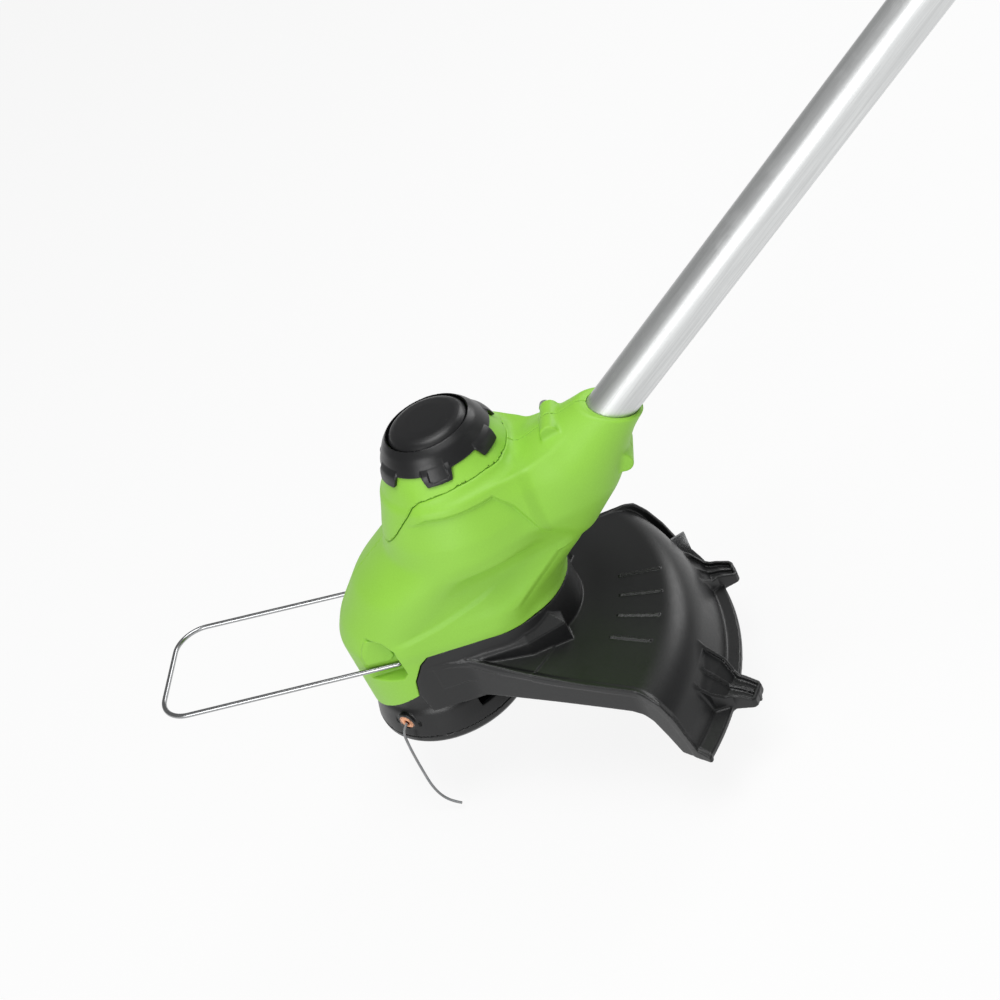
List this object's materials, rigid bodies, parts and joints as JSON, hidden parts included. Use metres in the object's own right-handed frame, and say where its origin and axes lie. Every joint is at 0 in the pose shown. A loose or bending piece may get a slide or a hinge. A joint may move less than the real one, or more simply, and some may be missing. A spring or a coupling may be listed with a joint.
{
  "type": "string trimmer",
  "caption": "Battery string trimmer with a geared cutting head, swing-up wire guard, telescoping shaft, tilting loop handle, trigger handle and slide-on battery.",
  "frame": {"origin": "on the shaft's axis at the mouth of the head's collar, where a shaft clip takes hold", "axes": "+Z parallel to the spool's axis, away from the ground; +X along the ground under the shaft, from the head towards the user; Y across, the trimmer's narrow way"},
  "size_m": [1.3513, 0.214, 1.032],
  "materials": {
    "anodised_tube": "satin anodised, fine lengthwise lines",
    "black_tube": "satin powder coat",
    "green_shell": "fine moulded grain",
    "black_plastic": "satin moulded",
    "guard_plastic": "satin moulded",
    "cast_plate": "as die-cast",
    "zinc_steel": "zinc plated",
    "magnet": "sintered",
    "bronze": "machined",
    "bright_steel": "ground",
    "nylon_gear": "moulded nylon",
    "copper": "pressed copper",
    "line_nylon": "extruded nylon",
    "plated_wire": "bright plated",
    "cable_jacket": "extruded",
    "lever_plastic": "moulded",
    "soft_grip": "foam grip",
    "handle_plastic": "fine moulded grain",
    "trigger_plastic": "satin moulded",
    "circuit_board": "lacquered",
    "battery_plastic": "moulded grain",
    "cell_wrap": "shrink wrap"
  },
  "bodies": {
    "head": {"lower_tube": "anodised_tube", "head_shell_left": "green_shell", "head_shell_right": "green_shell", "motor_cover": "green_shell", "cap_ring": "black_plastic", "cap_disc": "black_plastic", "head_screws": "zinc_steel", "collar_screws": "zinc_steel", "motor_can": "zinc_steel", "motor_magnets": "magnet", "motor_end_bell": "zinc_steel", "motor_bushes": "bronze", "gearbox_plate": "cast_plate", "gear_cover": "cast_plate", "idler_pin": "bright_steel", "spool_bearings": "bright_steel", "guard": "guard_plastic", "guard_screws": "zinc_steel", "line_cutter": "bright_steel", "power_cable": "cable_jacket", "coiled_cable": "cable_jacket"},
    "motor": {"rotor": "bronze", "motor_shaft": "bright_steel", "drive_pinion": "bright_steel", "cooling_fan": "black_plastic"},
    "idler": {"idler_gear": "nylon_gear"},
    "drum": {"spool_gear": "nylon_gear", "spool_shaft": "bright_steel", "spool_housing": "black_plastic", "spool_cap": "black_plastic", "eyelet": "copper", "cutting_line": "line_nylon", "spool_spring": "bright_steel"},
    "knob": {"feed_knob": "black_plastic"},
    "spool": {"line_spool": "black_plastic", "spool_line": "line_nylon"},
    "wire_guard": {"wire_guard": "plated_wire"},
    "coupler": {"shaft_lock": "black_plastic", "lock_pin": "bright_steel"},
    "lock_lever": {"lock_lever": "lever_plastic"},
    "upper_shaft": {"upper_tube": "black_tube", "loop_clamp": "black_plastic", "clamp_screws": "zinc_steel", "loop_bolt": "zinc_steel", "handle_left": "handle_plastic", "handle_right": "handle_plastic", "handle_screws": "zinc_steel", "trigger_pin": "bright_steel", "power_switch": "black_plastic", "control_board": "circuit_board", "battery_terminals": "black_plastic", "handle_cable": "cable_jacket"},
    "loop_handle": {"loop_handle": "black_plastic", "loop_grip": "soft_grip"},
    "loop_knob": {"loop_knob": "black_plastic"},
    "trigger": {"trigger": "trigger_plastic"},
    "lock_button": {"lock_button": "trigger_plastic"},
    "battery": {"battery_case": "battery_plastic", "battery_cells": "cell_wrap"},
    "battery_latch": {"battery_latch": "lever_plastic"}
  },
  "joints": [
    {"name": "spool_spin", "type": "hinge", "parent": "head", "child": "drum", "pos_m": [-0.157, 0, -0.1584], "axis": [0, 0, 1], "continuous": true},
    {"name": "idler_spin", "type": "hinge", "parent": "head", "child": "idler", "pos_m": [-0.123, 0, -0.0934], "axis": [0, 0, 1], "continuous": true},
    {"name": "motor_spin", "type": "hinge", "parent": "head", "child": "motor", "pos_m": [-0.099, 0, -0.0934], "axis": [0, 0, 1], "continuous": true},
    {"name": "feed_bump", "type": "slide", "parent": "drum", "child": "knob", "axis": [0, 0, 1], "range_m": [0, 0.005], "stiffness_N_per_m": 2500, "springref_m": -0.004, "deforming": ["spool_spring"]},
    {"name": "line_feed", "type": "hinge", "parent": "knob", "child": "spool", "pos_m": [-0.157, 0, -0.1484], "axis": [0, 0, 1], "continuous": true},
    {"name": "wire_guard_fold", "type": "hinge", "parent": "head", "child": "wire_guard", "pos_m": [-0.1663, 0, -0.1043], "axis": [0, 1, 0], "range_deg": [0, 60]},
    {"name": "telescope_slide", "type": "slide", "parent": "head", "child": "coupler", "axis": [0.7859, 0, 0.6184], "range_m": [0, 0.2]},
    {"name": "lock_lever_turn", "type": "hinge", "parent": "coupler", "child": "lock_lever", "pos_m": [0.33537, 0, 0.29827], "axis": [0, -1, 0], "range_deg": [0, 100]},
    {"name": "shaft_turn", "type": "hinge", "parent": "coupler", "child": "upper_shaft", "pos_m": [0, 0, 0], "axis": [0.7859, 0, 0.6184], "range_deg": [0, 180]},
    {"name": "loop_handle_tilt", "type": "hinge", "parent": "upper_shaft", "child": "loop_handle", "pos_m": [0.60413, 0, 0.50976], "axis": [0, 1, 0], "range_deg": [-30, 40]},
    {"name": "loop_knob_turn", "type": "hinge", "parent": "upper_shaft", "child": "loop_knob", "pos_m": [0.60413, -0.032, 0.50976], "axis": [0, -1, 0], "continuous": true},
    {"name": "trigger_pull", "type": "hinge", "parent": "upper_shaft", "child": "trigger", "pos_m": [0.82033, 0, 0.63281], "axis": [0, -1, 0], "range_deg": [0, 8], "stiffness_Nm_per_rad": 1.2, "springref_deg": -8.59},
    {"name": "lock_button_push", "type": "slide", "parent": "upper_shaft", "child": "lock_button", "axis": [0.6184, 0, -0.7859], "range_m": [0, 0.004], "stiffness_N_per_m": 600, "springref_m": -0.002},
    {"name": "battery_slide", "type": "slide", "parent": "upper_shaft", "child": "battery", "axis": [0.7859, 0, 0.6184], "range_m": [0, 0.11]},
    {"name": "battery_latch_press", "type": "slide", "parent": "battery", "child": "battery_latch", "axis": [0.6184, 0, -0.7859], "range_m": [0, 0.0012], "stiffness_N_per_m": 800, "springref_m": -0.002}
  ],
  "couplings": [
    {"joint": "idler_spin", "follows": "spool_spin", "ratio": -1.4286},
    {"joint": "motor_spin", "follows": "spool_spin", "ratio": 2}
  ]
}
